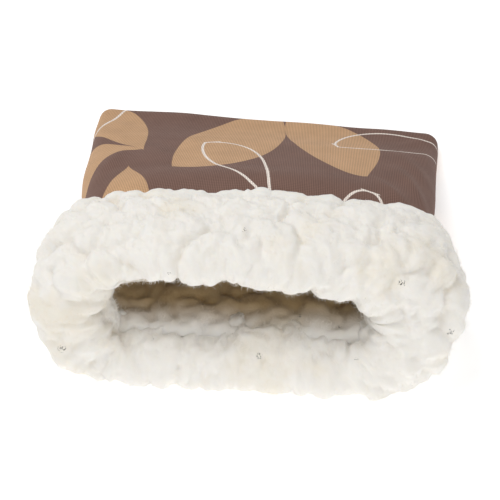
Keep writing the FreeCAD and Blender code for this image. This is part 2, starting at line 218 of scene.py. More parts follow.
def smooth_curve(places, values, at):
    """A smooth curve through known values that doesn't overshoot them."""
    steps = np.diff(places)
    slopes = np.diff(values) / steps
    tangents = np.zeros(len(values))
    same_way = slopes[:-1] * slopes[1:] > 0
    joined = 2 * slopes[:-1] * slopes[1:] / np.where(same_way, slopes[:-1] + slopes[1:], 1)
    tangents[1:-1] = np.where(same_way, joined, 0)
    tangents[0], tangents[-1] = slopes[0], slopes[-1]
    at = np.clip(at, places[0], places[-1])
    span = np.clip(np.searchsorted(places, at, side="right") - 1, 0, len(steps) - 1)
    share = (at - places[span]) / steps[span]
    square, cube = share ** 2, share ** 3
    return ((2 * cube - 3 * square + 1) * values[span] + (3 * square - 2 * cube) * values[span + 1]
            + ((cube - 2 * square + share) * tangents[span] + (cube - square) * tangents[span + 1])
            * steps[span])


def arch(half_width, rise, shoulder, count, flat):
    """Points evenly spaced along an arch from its right end to its left, as (across, up)."""
    inner = half_width - shoulder
    if flat:
        turn, crown, across = math.pi / 2, None, 2 * inner
    else:
        crown = (inner ** 2 + rise ** 2 - shoulder ** 2) / (2 * (rise - shoulder))
        turn = math.atan2(crown - rise, inner)
        across = crown * (math.pi - 2 * turn)
    bend = shoulder * turn
    along = np.linspace(0, 2 * bend + across, count)
    points = np.zeros((count, 2))
    first = along <= bend
    last = along >= bend + across
    middle = ~first & ~last
    angle = along[first] / shoulder
    points[first] = np.stack([inner + shoulder * np.cos(angle), shoulder * np.sin(angle)], axis=1)
    if flat:
        points[middle] = np.stack([inner - (along[middle] - bend), np.full(middle.sum(), rise)], axis=1)
    else:
        angle = turn + (along[middle] - bend) / crown
        points[middle] = np.stack([crown * np.cos(angle), rise - crown + crown * np.sin(angle)], axis=1)
    angle = (2 * bend + across - along[last]) / shoulder
    points[last] = np.stack([-inner - shoulder * np.cos(angle), shoulder * np.sin(angle)], axis=1)
    return points


def loop(half_width, seam, top, bottom, shoulder, upper_count, lower_count):
    """A whole outline in the leaning plane, anticlockwise from the right seam, as (across, up the plane)."""
    cosine = math.cos(LEAN)
    rise = (top - seam) / cosine
    upper = arch(half_width, rise, min(shoulder, 0.92 * rise), upper_count + 1, False)
    fall = (seam - bottom) / cosine
    lower = arch(half_width, fall, min(fall, half_width * 0.9), lower_count + 1, True)
    lower = lower[::-1] * (1, -1)
    outline = np.concatenate([upper[:-1], lower[:-1]])
    return outline + (0, seam / cosine)


def in_row_frame(outline, station):
    """Points of a leaning plane at a station, in the row frame."""
    station = np.broadcast_to(station, outline.shape[:-1])
    across, up = outline[..., 0], outline[..., 1]
    return np.stack([across, FRONT_Y + station + up * math.sin(LEAN), up * math.cos(LEAN)], axis=-1)


print("front of the mouth at", round(FRONT_Y, 4))


# %% [markdown]
# ## Grids of points
# Each cloth is a grid: its rows go along the pouch and its columns go round it. These functions turn a grid
# into faces and find which way each point faces.

# %% Mesh helpers
def mesh_object(name, points, faces):
    mesh = bpy.data.meshes.new(name)
    mesh.from_pydata(points.reshape(-1, 3).tolist(), [], faces)
    mesh.update()
    made = bpy.data.objects.new(name, mesh)
    bpy.context.collection.objects.link(made)
    for polygon in mesh.polygons:
        polygon.use_smooth = True
    return made


def grid_faces(rows, columns, wrap_rows=False):
    """Quads over a grid of points, closed round the columns and, for a ring, round the rows."""
    faces = []
    for row in range(rows if wrap_rows else rows - 1):
        following = (row + 1) % rows
        for column in range(columns):
            beside = (column + 1) % columns
            faces.append((row * columns + column, row * columns + beside,
                          following * columns + beside, following * columns + column))
    return faces


def plain_mesh(made):
    """The mesh that an object's modifiers make of it."""
    bpy.context.view_layer.update()
    graph = bpy.context.evaluated_depsgraph_get()
    return bpy.data.meshes.new_from_object(made.evaluated_get(graph), depsgraph=graph)


def grid_normals(points, wrap_rows):
    """Unit normals of a grid that is closed round its columns, pointing to the left of its rows."""
    along = np.roll(points, -1, axis=1) - np.roll(points, 1, axis=1)
    if wrap_rows:
        across = np.roll(points, -1, axis=0) - np.roll(points, 1, axis=0)
    else:
        across = np.gradient(points, axis=0)
    normals = np.cross(along, across)
    return normals / np.maximum(np.linalg.norm(normals, axis=-1, keepdims=True), 1e-12)


# %% [markdown]
# ## Sherpa pile
# Sherpa is a knit whose long pile has felted into puffs, each a rounded clump of fibres with a crease
# round it. One puff is a dome, so the pile is made by raising the cloth's surface to the highest of many
# overlapping domes, which leaves a crease wherever two meet. Large puffs carry middling ones and those
# carry small ones. Centres are thrown at random, but never nearer to each other than the puffs' spacing.

# %% Puffs
def throw_centres(points, spacing, random):
    """Indices of points chosen at random, no two nearer than spacing."""
    cells, chosen = {}, []
    for index in random.permutation(len(points)):
        place = points[index]
        cell = tuple(int(value) for value in np.floor(place / spacing))
        near = (cells.get((cell[0] + i, cell[1] + j, cell[2] + k), ())
                for i in (-1, 0, 1) for j in (-1, 0, 1) for k in (-1, 0, 1))
        if all(np.sum((points[other] - place) ** 2) > spacing ** 2 for group in near for other in group):
            cells.setdefault(cell, []).append(index)
            chosen.append(index)
    return chosen


def puffs(points, normals, spacing, radius, height, random, stretch=1.4):
    """How far overlapping domes raise each point."""
    tree = KDTree(len(points))
    for index, place in enumerate(points):
        tree.insert(place, index)
    tree.balance()
    raised = np.zeros(len(points))
    for index in throw_centres(points, spacing, random):
        size = radius * random.uniform(0.75, 1.3)
        top = height * (size / radius) ** 0.7 * random.uniform(0.8, 1.15)
        longer = random.uniform(1.0, stretch)
        found = [item[1] for item in tree.find_range(points[index], size * longer)]
        offset = points[found] - points[index]
        direction = random.normal(size=3)
        direction -= normals[index] * direction.dot(normals[index])
        direction /= np.linalg.norm(direction)
        along = offset @ direction
        away = np.sum(offset ** 2, axis=1) - along ** 2 * (1 - 1 / longer ** 2)
        dome = top * np.sqrt(np.clip(1 - away / size ** 2, 0, 1))
        raised[found] = np.maximum(raised[found], dome)
    return raised


def relaxed(values, times, wrap_rows):
    """The values of a grid after each has moved toward its neighbours."""
    for _ in range(times):
        sides = np.roll(values, 1, axis=1) + np.roll(values, -1, axis=1)
        if wrap_rows:
            ends = np.roll(values, 1, axis=0) + np.roll(values, -1, axis=0)
        else:
            padded = np.concatenate([values[:1], values, values[-1:]])
            ends = padded[:-2] + padded[2:]
        values = values * 0.4 + (sides + ends) * 0.15
    return values


def warped(points, scale, strength):
    """The points pushed about by smooth noise, which bends round shapes into uneven ones."""
    broad = np.array([noise.noise_vector(Vector(place) * scale) for place in points])
    fine = np.array([noise.noise_vector(Vector(place) * scale * 4) for place in points])
    return points + (broad + fine * 0.3) * strength


# %% [markdown]
# ## What sherpa looks like
# The pile is a dull white that scatters light inside itself. Its creases are given a painted shade of darker
# cream, and deep in the pouch its colour is darkened to olive as painted shade, where little light gets in. A
# picture could carry that, but nodes follow the shape at any size.

# %% Sherpa material
def fibre_grain():
    """A group that gives the fine woolly relief and the uneven cream of natural-looking pile."""
    group = bpy.data.node_groups.new("fibre_grain", "ShaderNodeTree")
    group.interface.new_socket("Vector", in_out="INPUT", socket_type="NodeSocketVector")
    fineness = group.interface.new_socket("Fineness", in_out="INPUT", socket_type="NodeSocketFloat")
    fineness.default_value = 500.0
    group.interface.new_socket("Relief", in_out="OUTPUT", socket_type="NodeSocketFloat")
    group.interface.new_socket("Cream", in_out="OUTPUT", socket_type="NodeSocketFloat")
    entry = add_node(group, "NodeGroupInput")
    leave = add_node(group, "NodeGroupOutput")
    fine = add_node(group, "ShaderNodeTexNoise", inputs={"Detail": 4.0, "Roughness": 0.65, "Distortion": 1.2})
    group.links.new(entry.outputs["Vector"], fine.inputs["Vector"])
    group.links.new(entry.outputs["Fineness"], fine.inputs["Scale"])
    broad = add_node(group, "ShaderNodeTexNoise", inputs={"Scale": 26.0, "Detail": 3.0})
    group.links.new(entry.outputs["Vector"], broad.inputs["Vector"])
    group.links.new(fine.outputs["Fac"], leave.inputs["Relief"])
    group.links.new(map_range(group, broad.outputs["Fac"], 0.5, 0.72), leave.inputs["Cream"])
    return group


FIBRE_GRAIN = fibre_grain()
PILE_WHITE = (0.93, 0.898, 0.845, 1)
PILE_CREAM = (0.86, 0.78, 0.62, 1)
# painted shade for the creases between puffs
PILE_CREASE_SHADE = (0.72, 0.63, 0.47, 1)
BACKING_DARK = (0.035, 0.028, 0.024, 1)


def deepened(tree, place, colour, painted_shade):
    """Painted shade: the colour multiplied by a darker tint that comes in between two depths along the pouch.
    """
    low, high, tint = painted_shade
    along = add_node(tree, "ShaderNodeSeparateXYZ")
    tree.links.new(place, along.inputs[0])
    return mix_colours(tree, map_range(tree, along.outputs["Y"], low, high), colour, tint, "MULTIPLY")


def pin_holes(tree, place):
    """Where the pile parts: a mask of tiny dots in a few small clusters."""
    partings = add_node(tree, "ShaderNodeTexVoronoi", inputs={"Scale": 34.0})
    tree.links.new(place, partings.inputs["Vector"])
    dots = add_node(tree, "ShaderNodeTexVoronoi", inputs={"Scale": 1000.0})
    tree.links.new(place, dots.inputs["Vector"])
    cluster = map_range(tree, partings.outputs["Distance"], 0.11, 0.07)
    dot = map_range(tree, dots.outputs["Distance"], 0.42, 0.30)
    return math_node(tree, "MULTIPLY", cluster, dot)


def sherpa_material(name, painted_shade=None):
    """White pile with a painted shade of darker cream in its creases, with pin holes of dark backing where it
    parts.
    """
    material, tree = new_material(name)
    place = add_node(tree, "ShaderNodeTexCoord").outputs["Object"]
    grain = add_node(tree, "ShaderNodeGroup", node_tree=FIBRE_GRAIN, inputs={"Fineness": 420.0})
    tree.links.new(place, grain.inputs["Vector"])
    loft = add_node(tree, "ShaderNodeAttribute", attribute_name="loft").outputs["Fac"]
    # painted shade: where the pile is low, between puffs, its colour is darkened toward cream as if in shadow
    crease_shade = map_range(tree, loft, 0.45, 0.0)
    creamy = math_node(tree, "MULTIPLY", grain.outputs["Cream"], 0.35)
    white = mix_colours(tree, creamy, PILE_WHITE, PILE_CREAM)
    colour = mix_colours(tree, math_node(tree, "MULTIPLY", crease_shade, 0.55), white, PILE_CREASE_SHADE)
    # painted shade: deep in the pouch the pile's colour is darkened to olive
    if painted_shade:
        colour = deepened(tree, place, colour, painted_shade)
    colour = mix_colours(tree, pin_holes(tree, place), colour, BACKING_DARK)
    bump = add_node(tree, "ShaderNodeBump", inputs={"Strength": 0.35, "Distance": 0.0012})
    tree.links.new(grain.outputs["Relief"], bump.inputs["Height"])
    shader = add_node(tree, "ShaderNodeBsdfPrincipled",
                      inputs={"Roughness": 0.95, "Specular IOR Level": 0.15, "Sheen Weight": 0.25,
                              "Sheen Roughness": 0.5, "Subsurface Weight": 0.35, "Subsurface Scale": 0.003})
    shader.inputs["Subsurface Radius"].default_value = (1.0, 0.9, 0.75)
    tree.links.new(colour, shader.inputs["Base Color"])
    tree.links.new(bump.outputs[0], shader.inputs["Normal"])
    finish_material(tree, shader)
    return material


pile_material = sherpa_material("sherpa_pile")
# painted shade: the lining and its fibres darken to olive deep in the pouch, where little light gets in
PAINTED_INSIDE_SHADE = (FRONT_Y + 0.032, FRONT_Y + 0.060, (0.52, 0.39, 0.22, 1))
lining_material = sherpa_material("sherpa_lining", PAINTED_INSIDE_SHADE)

# %% [markdown]
# ## The cuff
# The cuff is the sherpa turned back over the mouth: a soft ring with a fat roll at the lip. Its section
# runs from the free edge over the outside, round the lip and back into the mouth, and then returns
# unseen along the shell. It could be a torus with a modifier, but the muff's outlines change shape round
# the mouth, so each row of the ring is mixed from the outlines of the layers that it passes.

# %% Cuff
CUFF_COLUMNS_UPPER, CUFF_COLUMNS_LOWER = 300, 260
CUFF_DEPTH = 68 * MM
LIP_RADIUS = 21 * MM
LIP_FRONT = 7.5 * MM
PUFF_HEIGHT = 7.5 * MM
HEM_TRIM = 9 * MM


def cuff_row(station, inner, seat, outer):
    """One row of the ring: a mixture of the mouth's, the seat's and the outside's outlines."""
    count = (CUFF_COLUMNS_UPPER, CUFF_COLUMNS_LOWER)
    slope = 6 * MM * np.clip((station - LIP_RADIUS) / (50 * MM), 0, 1)
    outside = loop(129.5 * MM, 50 * MM, 93 * MM - slope, 8 * MM, 42 * MM, *count)
    shell_seat = loop(118 * MM, 50 * MM, 86 * MM, 17 * MM, 28 * MM, *count)
    mouth = loop(100 * MM, 50 * MM, 77 * MM, 22 * MM, 18 * MM, *count)
    mouth[:, 0] = mouth[:, 0] * 0.95 - 5 * MM
    points = in_row_frame(inner * mouth + seat * shell_seat + outer * outside, station)
    upper = np.clip((points[:, 2] - 50 * MM) / (20 * MM), 0, 1) * inner
    points[:, 2] += upper * (3 * MM - 0.10 * points[:, 0])
    return points


def cuff_section():
    """The ring's rows, each as a station and its shares of the mouth, the seat and the outside."""
    rows = []
    for station in np.arange(CUFF_DEPTH - 4 * MM, LIP_RADIUS, -1.25 * MM):
        rows.append((station, 0, 0, 1))
    for turn in np.linspace(0, math.pi, 48):
        share = (1 + math.cos(turn)) / 2
        rows.append((LIP_RADIUS - (LIP_RADIUS - LIP_FRONT) * math.sin(turn) ** 0.8, 1 - share, 0, share))
    for station in np.arange(LIP_RADIUS + 1.2 * MM, 36 * MM, 1.3 * MM):
        rows.append((station, 1, 0, 0))
    for share in (0.3, 0.7):
        rows.append((36 * MM, 1 - share, share, 0))
    for station in np.linspace(36 * MM, CUFF_DEPTH - 5 * MM, 6):
        rows.append((station, 0, 1, 0))
    for turn in np.linspace(0.15, math.pi / 2, 12):
        share = math.sin(turn) ** 1.2
        rows.append((CUFF_DEPTH - 4 * MM + 3 * MM * math.sin(2 * turn), 0, 1 - share, share))
    return rows


def set_attribute(made, name, values):
    attribute = made.data.attributes.new(name, "FLOAT", "POINT")
    attribute.data.foreach_set("value", np.asarray(values, dtype=np.float32).ravel())


def make_cuff():
    random = np.random.default_rng(SEED)
    rows = cuff_section()
    points = np.array([cuff_row(*row) for row in rows])
    on_seat = np.array([row[2] for row in rows])
    normals = grid_normals(points, wrap_rows=True)
    flat_points, flat_normals = points.reshape(-1, 3), normals.reshape(-1, 3)
    uneven = warped(flat_points, 50, 8 * MM)
    large = puffs(uneven, flat_normals, 15 * MM, 11.5 * MM, PUFF_HEIGHT, random, stretch=1.6)
    middling = puffs(uneven, flat_normals, 7 * MM, 5.4 * MM, 3.2 * MM, random, stretch=1.7)
    small = puffs(uneven, flat_normals, 3.4 * MM, 2.7 * MM, 1.3 * MM, random)
    shape = points.shape[:2]
    raised = relaxed((large + middling + small).reshape(shape), 2, True)
    to_hem = np.array([row[0] * row[3] for row in rows])
    raised *= 1 - 0.4 * np.clip((to_hem - CUFF_DEPTH + 16 * MM) / (10 * MM), 0, 1)[:, None]
    # loft, the height of the puffs, sets where the pile material paints shade in the creases
    loft = raised / (PUFF_HEIGHT + 4 * MM)
    raised = raised * np.clip(1 - 1.2 * on_seat, 0, 1)[:, None]
    points = points + normals * raised[..., None]
    low = points[..., 2] < 2 * MM
    points[..., 2] = np.where(low, 2 * MM * np.exp((points[..., 2] - 2 * MM) / (4 * MM)), points[..., 2])
    made = mesh_object("sherpa_cuff", points, grid_faces(*shape, wrap_rows=True))
    set_attribute(made, "loft", np.clip(loft, 0, 1))
    trimmed = [float(seat > 0 or (outer == 1 and station > CUFF_DEPTH - HEM_TRIM))
               for station, inner, seat, outer in rows]
    set_attribute(made, "hidden", np.repeat(trimmed, shape[1]))
    made.data.materials.append(pile_material)
    return made


cuff = make_cuff()
print("cuff", len(cuff.data.vertices), "points", len(cuff.data.polygons), "faces")

# %% [markdown]
# ## The lining
# Inside, the same pile lines a hollow that narrows to the closed end. Only its first hand's breadth is in
# plain sight, so its puffs grow coarser with depth.

# %% Lining
LINING_STATIONS = np.array([22, 88, 132, 200, 255]) * MM
LINING_HALF_WIDTH = np.array([100, 100, 108, 116, 118]) * MM
LINING_TOP = np.array([69, 69, 58, 34, 12]) * MM
LINING_BOTTOM = np.array([28, 27, 13, 9, 8]) * MM
LINING_BACK = 5 * MM


def lining_row(station, outer):
    """A row of the lining: the hollow's outline, or the outline of the cloth that carries the pile."""
    count = (150, 120)
    half = smooth_curve(LINING_STATIONS, LINING_HALF_WIDTH, station)
    top = smooth_curve(LINING_STATIONS, LINING_TOP, station)
    bottom = smooth_curve(LINING_STATIONS, LINING_BOTTOM, station)
    spread = LINING_BACK * outer * min(1, (260 * MM - station) / (30 * MM) + 0.3)
    seam = (top + bottom) / 2
    rise = (top - seam + spread) / math.cos(LEAN)
    outline = loop(half + spread, seam, top + spread, bottom - spread, rise * 0.7, *count)
    return in_row_frame(outline, station)


def make_lining():
    random = np.random.default_rng(SEED + 1)
    inner = np.concatenate([np.arange(255, 115, -5), np.arange(115, 23, -1.8)]) * MM
    outer = np.linspace(24, 258, 30) * MM
    points = np.array([lining_row(station, 0) for station in inner]
                      + [lining_row(station, 1) for station in outer])
    shape = points.shape[:2]
    normals = -grid_normals(points, wrap_rows=False)
    flat_points, flat_normals = points.reshape(-1, 3), normals.reshape(-1, 3)
    uneven = warped(flat_points, 50, 6 * MM)
    large = puffs(uneven, flat_normals, 13 * MM, 10 * MM, 5 * MM, random, stretch=1.6)
    middling = puffs(uneven, flat_normals, 6 * MM, 4.8 * MM, 2.6 * MM, random, stretch=1.7)
    raised = relaxed((large + middling).reshape(shape), 1, False)
    height = points[..., 2].max(axis=1) - points[..., 2].min(axis=1)
    room = np.clip(height / (32 * MM), 0.15, 1)[:, None] * (np.arange(shape[0]) < len(inner))[:, None]
    points = points + normals * (raised * room)[..., None]
    total = shape[0] * shape[1]
    ends = [points[0].mean(axis=0), points[-1].mean(axis=0)]
    faces = [face[::-1] for face in grid_faces(*shape)]
    last = total - shape[1]
    for column in range(shape[1]):
        beside = (column + 1) % shape[1]
        faces.append((total, column, beside))
        faces.append((total + 1, last + beside, last + column))
    made = mesh_object("sherpa_lining", np.concatenate([points.reshape(-1, 3), ends]), faces)
    # loft, the height of the puffs, sets where the pile material paints shade in the creases
    set_attribute(made, "loft", np.append(np.clip(raised / (6.7 * MM), 0, 1).ravel(), [0.5, 0.5]))
    out_of_sight = np.append(inner > 120 * MM, np.ones(len(outer)))
    set_attribute(made, "hidden", np.append(np.repeat(out_of_sight, shape[1]), [1, 1]))
    made.data.materials.append(lining_material)
    return made


lining = make_lining()
print("lining", len(lining.data.polygons), "faces")

# %% [markdown]
# ## The printed shell
# The shell is two panels of fine ribbed knit, sewn together round three sides. It is made as one closed
# pouch, with a map in the cloth's own metres, so that ribs and print follow the cloth.

# %% Shell
SHELL_COLUMNS = 150
CORNER = 14 * MM
END_SKEW = 9 * MM
CLOTH_THICKNESS = 1.1 * MM
END_HALF_WIDTH = 137.5 * MM
WELD_REACH = 0.00005


def shell_row(station):
    """A row of the pouch in its leaning plane; past the corners it narrows and closes like a pillow."""
    half = smooth_curve(STATIONS, SHELL_HALF_WIDTH, station)
    top = smooth_curve(STATIONS, SHELL_TOP, station)
    bottom = smooth_curve(STATIONS, SHELL_BOTTOM, station)
    seam = smooth_curve(STATIONS, SEAM_LEVEL, station)
    share = smooth_curve(STATIONS, SHOULDER_SHARE, station)
    past = (station - (BODY_LENGTH - CORNER)) / CORNER
    if past > 0:
        closing = math.sqrt(max(1 - past ** 2, 0))
        half = END_HALF_WIDTH - CORNER * (1 - closing)
        thin = max(closing, 0.02)
        top, bottom = seam + (top - seam) * thin, seam - (seam - bottom) * thin
    rise = (top - seam) / math.cos(LEAN)
    return loop(half, seam, top, bottom, rise * share, SHELL_COLUMNS, SHELL_COLUMNS)


def wrinkle(points, first, second, width, height):
    """A soft ridge along the line between two places seen from above, fading at both ends."""
    start, line = np.array(first) * MM, (np.array(second) - np.array(first)) * MM
    offset = points[..., :2] - start
    along = offset @ line / (line @ line)
    away = (offset[..., 0] * line[1] - offset[..., 1] * line[0]) / np.linalg.norm(line)
    fade = np.clip(1 - (2 * along - 1) ** 2, 0, 1)
    return height * MM * fade * np.exp(-(away / (width * MM)) ** 2)


WRINKLES = ((118, -30, 96, 40, 5, 2.2), (106, -42, 78, 10, 5, 1.8), (122, 10, 100, 75, 6, 1.6),
            (60, 20, 20, 60, 9, 0.9), (-116, -20, -96, 60, 6, 1.5), (-60, 10, -90, 70, 9, 1.0),
            (100, 90, 128, 118, 6, 1.2), (-104, 96, -124, 122, 6, 1.2))


def make_shell():
    straight = np.linspace(24 * MM, BODY_LENGTH - CORNER, 124)
    turned = BODY_LENGTH - CORNER + CORNER * np.sin(np.linspace(0, math.pi / 2, 12))[1:]
    stations = np.concatenate([straight, turned])
    rows, across = [], []
    for station in stations:
        outline = shell_row(station)
        rows.append(in_row_frame(outline, station))
        step = np.linalg.norm(np.roll(outline, -1, axis=0) - outline, axis=1)
        length = np.concatenate([[0], np.cumsum(step)])
        across.append(length[SHELL_COLUMNS] / 2 - length)
    points, across = np.array(rows), np.array(across)
    shape = points.shape[:2]

    # the upper and the lower cloth meet in one line at the closed end
    upper, lower = points[-1, :SHELL_COLUMNS], points[-1, SHELL_COLUMNS:]
    lower[1:] = upper[:0:-1]
    points[-1, :, 2] = END_SEAM

    # the closed end lies a little askew, and the cloth has soft folds and hollows
    behind = np.clip((points[..., 1] - (FRONT_Y + 0.1)) / 0.18, 0, 1) ** 1.5
    points[..., 1] -= END_SKEW * behind * points[..., 0] / 0.137
    normals = -grid_normals(points, wrap_rows=False)
    seam_wave = np.array([noise.noise(Vector(place) * 22) for place in points.reshape(-1, 3)]).reshape(shape)
    swell = 1.3 * MM * seam_wave
    for fold in WRINKLES:
        swell += wrinkle(points, fold[:2], fold[2:4], *fold[4:]) * (np.arange(shape[1]) < SHELL_COLUMNS)
    swell[-1] = 0
    swell = np.minimum(swell, 2.4 * MM) * np.where(np.arange(shape[1]) < SHELL_COLUMNS, 1, 0.3)
    points = points + normals * swell[..., None]
    points[..., 2] = np.maximum(points[..., 2], TABLE_GAP)

    faces = [face[::-1] for face in grid_faces(*shape)]
    made = mesh_object("printed_shell", points, faces)
    layer = made.data.uv_layers.new(name="cloth")
    values = np.zeros((len(faces), 4, 2))
    for number in range(len(faces)):
        row, column = divmod(number, shape[1])
        corners = ((row + 1, column), (row + 1, column + 1), (row, column + 1), (row, column))
        values[number] = [(across[i][j], stations[i]) for i, j in corners]
    layer.data.foreach_set("uv", values.ravel())
    solidify = made.modifiers.new("cloth thickness", "SOLIDIFY")
    solidify.thickness = CLOTH_THICKNESS
    solidify.offset = -1
    weld = made.modifiers.new("closed end", "WELD")
    weld.merge_threshold = WELD_REACH
    made.modifiers.move(1, 0)
    mesh = plain_mesh(made)
    made.modifiers.clear()
    made.data = mesh
    return made


shell = make_shell()
print("shell", len(shell.data.polygons), "faces")

# %% [markdown]
# ## The leaf print
# Each leaf grows from its stem to its tip, and each side swells by its own curve: width = w · p^a ·
# (1 − p)^b, where p runs from stem to tip. A small a gives a round shoulder, a small b a blunt tip. The
# distance from a leaf's edge fills a tan leaf or draws a pale outline, so edges stay sharp at any size.


# %% Leaf print
def leaf_distance_group():
    """A group that gives how far a place on the cloth is outside a leaf's edge, negative inside."""
    group = bpy.data.node_groups.new("leaf_distance", "ShaderNodeTree")
    sockets = ("Stem U", "Stem V", "Direction U", "Direction V", "Length",
               "Left Width", "Left Shoulder", "Left Point", "Right Width", "Right Shoulder", "Right Point")
    for name in ("U", "V") + sockets:
        group.interface.new_socket(name, in_out="INPUT", socket_type="NodeSocketFloat")
    group.interface.new_socket("Distance", in_out="OUTPUT", socket_type="NodeSocketFloat")
    entry = add_node(group, "NodeGroupInput").outputs
    leave = add_node(group, "NodeGroupOutput")

    def calc(operation, *values, clamp=False):
        return math_node(group, operation, *values, clamp=clamp)

    right = calc("SUBTRACT", entry["U"], entry["Stem U"])
    up = calc("SUBTRACT", entry["V"], entry["Stem V"])
    along = calc("ADD", calc("MULTIPLY", right, entry["Direction U"]),
                 calc("MULTIPLY", up, entry["Direction V"]))
    side = calc("SUBTRACT", calc("MULTIPLY", up, entry["Direction U"]),
                calc("MULTIPLY", right, entry["Direction V"]))
    place = calc("DIVIDE", along, entry["Length"])
    place = calc("MINIMUM", calc("MAXIMUM", place, 0.002), 0.998)
    rest = calc("SUBTRACT", 1.0, place)
    is_left = calc("GREATER_THAN", side, 0.0)

    def chosen(name):
        difference = calc("SUBTRACT", entry["Left " + name], entry["Right " + name])
        return calc("ADD", entry["Right " + name], calc("MULTIPLY", is_left, difference))

    shoulder, point = chosen("Shoulder"), chosen("Point")
    width = calc("MULTIPLY", chosen("Width"), calc("MULTIPLY", calc("POWER", place, shoulder),
                                                   calc("POWER", rest, point)))
    growth = calc("SUBTRACT", calc("DIVIDE", shoulder, place), calc("DIVIDE", point, rest))
    slope = calc("DIVIDE", calc("MULTIPLY", width, growth), entry["Length"])
    beside = calc("SUBTRACT", calc("ABSOLUTE", side), width)
    beside = calc("DIVIDE", beside, calc("SQRT", calc("ADD", 1.0, calc("MULTIPLY", slope, slope))))
    beyond = calc("MAXIMUM", calc("SUBTRACT", 0.0, along), calc("SUBTRACT", along, entry["Length"]))
    group.links.new(calc("MAXIMUM", beside, beyond), leave.inputs["Distance"])
    return group


# stem, tip, then for the left and the right side: width, shoulder exponent and point exponent (mm)
TAN_LEAVES = (((10, 290), (-60, 124), (94, 0.85, 0.4), (92, 0.6, 0.95)),
              ((18, 286), (77, 128), (140, 0.6, 1.1), (48, 0.7, 0.4)),
              ((-135, 282), (-86, 168), (66, 0.5, 1.2), (75, 0.6, 1.2)),
              ((-150, 150), (-88, 170), (77, 0.5, 0.8), (190, 0.5, 3.0)),
              ((-84, 40), (-92, 132), (63, 0.7, 1.3), (63, 0.7, 1.3)),
              ((95, 60), (40, 20), (40, 0.6, 0.8), (40, 0.6, 0.8)))
OUTLINED_LEAVES = (((-42, 192), (13, 68), (71, 0.45, 1.35), (52, 0.8, 1.1)),
                   ((57, 206), (165, 230), (125, 0.5, 0.75), (8, 0.5, 0.9)),
                   ((-112, 302), (-142, 203), (5, 0.6, 0.8), (60, 0.5, 0.6)),
                   ((78, 94), (52, -10), (35, 0.45, 1.0), (35, 0.45, 1.0)))
LINE_WIDTH = 2.0 * MM
CLOTH_BROWN = (0.214, 0.126, 0.1, 1)
LEAF_TAN = (0.62, 0.385, 0.22, 1)
LINE_PALE = (0.93, 0.83, 0.75, 1)
WALE, COURSE = 1.2 * MM, 1.7 * MM
UNDER_EDGE, UNDER_SHIFT = -140 * MM, 280 * MM


